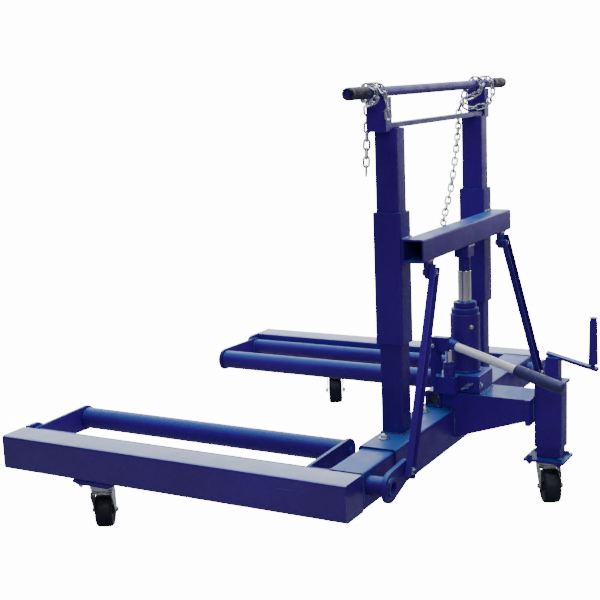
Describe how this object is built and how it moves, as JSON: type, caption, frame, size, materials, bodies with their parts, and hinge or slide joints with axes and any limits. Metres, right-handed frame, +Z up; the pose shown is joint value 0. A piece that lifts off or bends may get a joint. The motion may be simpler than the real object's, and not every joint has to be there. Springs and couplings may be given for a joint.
{
  "type": "hydraulic wheel dolly",
  "caption": "Floor dolly that lifts and carries a heavy vehicle wheel on rollers between two forks, with a mast, bottle jack, push bar and cranked rear leg.",
  "frame": {"origin": "centre of the footprint, on the floor under the casters", "axes": "+Z up; the forks point to -Y and the operator stands at +Y; +X is the operator's left, where the jack's pump handle is"},
  "size_m": [1.532, 1.5296, 1.223],
  "materials": {
    "blue_paint": "gloss ultramarine paint over welded steel",
    "zinc_steel": "zinc plated",
    "chrome": "hard chrome",
    "white_enamel": "white enamel",
    "black_rubber": "moulded rubber",
    "wheel_polymer": "moulded polymer wheel"
  },
  "bodies": {
    "root": {"centre_box": "blue_paint", "jack_platform": "blue_paint", "jack_base": "blue_paint", "jack_cylinder": "blue_paint", "pump_fulcrum_link": "blue_paint", "rear_arm": "blue_paint", "rear_leg_tube": "blue_paint", "push_bar": "blue_paint", "tie_bar": "blue_paint", "fork_tube_left": "blue_paint", "cross_tube_left": "blue_paint", "tip_bracket_left": "blue_paint", "caster_plate_left": "blue_paint", "mast_post_left": "blue_paint", "bar_upright_left": "blue_paint", "push_bar_grip_left": "black_rubber", "safety_chain_left": "zinc_steel", "fork_tube_right": "blue_paint", "cross_tube_right": "blue_paint", "tip_bracket_right": "blue_paint", "caster_plate_right": "blue_paint", "mast_post_right": "blue_paint", "bar_upright_right": "blue_paint", "push_bar_grip_right": "black_rubber", "safety_chain_right": "zinc_steel"},
    "carriage": {"cross_beam": "blue_paint", "jack_saddle": "blue_paint", "jack_ram": "chrome", "sleeve_left": "blue_paint", "link_clevis_left": "blue_paint", "sleeve_right": "blue_paint", "link_clevis_right": "blue_paint"},
    "rocker_left": {"pivot_shaft_left": "blue_paint", "front_arm_left": "blue_paint", "rear_arm_left": "blue_paint", "lever_left": "blue_paint", "roller_axle_left": "zinc_steel"},
    "roller_left": {"roller_left": "blue_paint"},
    "link_left": {"lift_link_left": "blue_paint"},
    "rocker_right": {"pivot_shaft_right": "blue_paint", "front_arm_right": "blue_paint", "rear_arm_right": "blue_paint", "lever_right": "blue_paint", "roller_axle_right": "zinc_steel"},
    "roller_right": {"roller_right": "blue_paint"},
    "link_right": {"lift_link_right": "blue_paint"},
    "pump_lever": {"pump_lever": "blue_paint", "pump_handle": "white_enamel", "pump_handle_grip": "black_rubber"},
    "pump_piston": {"pump_piston": "chrome"},
    "release_valve": {"release_valve": "zinc_steel"},
    "leg": {"inner_leg_tube": "blue_paint"},
    "crank": {"lift_screw_and_crank": "blue_paint"},
    "crank_grip": {"crank_grip": "blue_paint"},
    "front_caster_left_swivel": {"front_caster_left_yoke": "zinc_steel"},
    "front_caster_left_wheel": {"front_caster_left_wheel": "wheel_polymer"},
    "front_caster_right_swivel": {"front_caster_right_yoke": "zinc_steel"},
    "front_caster_right_wheel": {"front_caster_right_wheel": "wheel_polymer"},
    "rear_caster_swivel": {"rear_caster_yoke": "zinc_steel"},
    "rear_caster_wheel": {"rear_caster_wheel": "wheel_polymer"}
  },
  "joints": [
    {"name": "carriage_lift", "type": "slide", "parent": "root", "child": "carriage", "axis": [0, 0, 1], "range_m": [-0.057, 0.012]},
    {"name": "rocker_left", "type": "hinge", "parent": "root", "child": "rocker_left", "pos_m": [0.632, 0.35125, 0.215], "axis": [0, 1, 0], "range_deg": [-32, 6.8]},
    {"name": "roller_left_spin", "type": "hinge", "parent": "rocker_left", "child": "roller_left", "pos_m": [0.407, -0.24875, 0.213], "axis": [0, 1, 0], "continuous": true},
    {"name": "link_left_swing", "type": "hinge", "parent": "carriage", "child": "link_left", "pos_m": [0.288, 0.38975, 0.709], "axis": [0, -1, 0], "range_deg": [-0.5, 0.8]},
    {"name": "rocker_right", "type": "hinge", "parent": "root", "child": "rocker_right", "pos_m": [-0.632, 0.35125, 0.215], "axis": [0, -1, 0], "range_deg": [-32, 6.8]},
    {"name": "roller_right_spin", "type": "hinge", "parent": "rocker_right", "child": "roller_right", "pos_m": [-0.407, -0.24875, 0.213], "axis": [0, 1, 0], "continuous": true},
    {"name": "link_right_swing", "type": "hinge", "parent": "carriage", "child": "link_right", "pos_m": [-0.288, 0.38975, 0.709], "axis": [0, 1, 0], "range_deg": [-0.5, 0.8]},
    {"name": "pump_lever", "type": "hinge", "parent": "root", "child": "pump_lever", "pos_m": [0.08, 0.30925, 0.458], "axis": [1, 0, 0], "range_deg": [0, 45]},
    {"name": "pump_stroke", "type": "slide", "parent": "root", "child": "pump_piston", "axis": [0, 0, 1], "range_m": [0, 0.0225]},
    {"name": "release_valve", "type": "hinge", "parent": "root", "child": "release_valve", "pos_m": [0.07, 0.40325, 0.338], "axis": [1, 0, 0], "range_deg": [0, 360]},
    {"name": "leg_travel", "type": "slide", "parent": "root", "child": "leg", "axis": [0, 0, 1], "range_m": [-0.048, 0.012]},
    {"name": "crank_turn", "type": "hinge", "parent": "root", "child": "crank", "pos_m": [0, 0.63725, 0.3605], "axis": [0, 0, 1], "range_deg": [-720, 2880]},
    {"name": "crank_grip_spin", "type": "hinge", "parent": "crank", "child": "crank_grip", "pos_m": [0, 0.75125, 0.45], "axis": [0, 0, 1], "continuous": true},
    {"name": "front_caster_left_swivel", "type": "hinge", "parent": "root", "child": "front_caster_left_swivel", "pos_m": [0.716, -0.44875, 0.11], "axis": [0, 0, 1], "continuous": true},
    {"name": "front_caster_left_roll", "type": "hinge", "parent": "front_caster_left_swivel", "child": "front_caster_left_wheel", "pos_m": [0.69335, -0.46151, 0.05], "axis": [0.4909, -0.8712, 0], "continuous": true},
    {"name": "front_caster_right_swivel", "type": "hinge", "parent": "root", "child": "front_caster_right_swivel", "pos_m": [-0.716, -0.44875, 0.11], "axis": [0, 0, 1], "continuous": true},
    {"name": "front_caster_right_roll", "type": "hinge", "parent": "front_caster_right_swivel", "child": "front_caster_right_wheel", "pos_m": [-0.69335, -0.43599, 0.05], "axis": [-0.4909, 0.8712, 0], "continuous": true},
    {"name": "rear_caster_swivel", "type": "hinge", "parent": "leg", "child": "rear_caster_swivel", "pos_m": [0, 0.62125, 0.11], "axis": [0, 0, 1], "continuous": true},
    {"name": "rear_caster_roll", "type": "hinge", "parent": "rear_caster_swivel", "child": "rear_caster_wheel", "pos_m": [0.02265, 0.63401, 0.05], "axis": [-0.4909, 0.8712, 0], "continuous": true}
  ],
  "couplings": [
    {"joint": "rocker_left", "follows": "carriage_lift", "rad_per_m": 9.75},
    {"joint": "link_left_swing", "follows": "carriage_lift", "rad_per_m": -0.12},
    {"joint": "rocker_right", "follows": "carriage_lift", "rad_per_m": 9.75},
    {"joint": "link_right_swing", "follows": "carriage_lift", "rad_per_m": -0.12},
    {"joint": "pump_stroke", "follows": "pump_lever", "m_per_rad": 0.028},
    {"joint": "leg_travel", "follows": "crank_turn", "m_per_rad": -0.00095493}
  ]
}
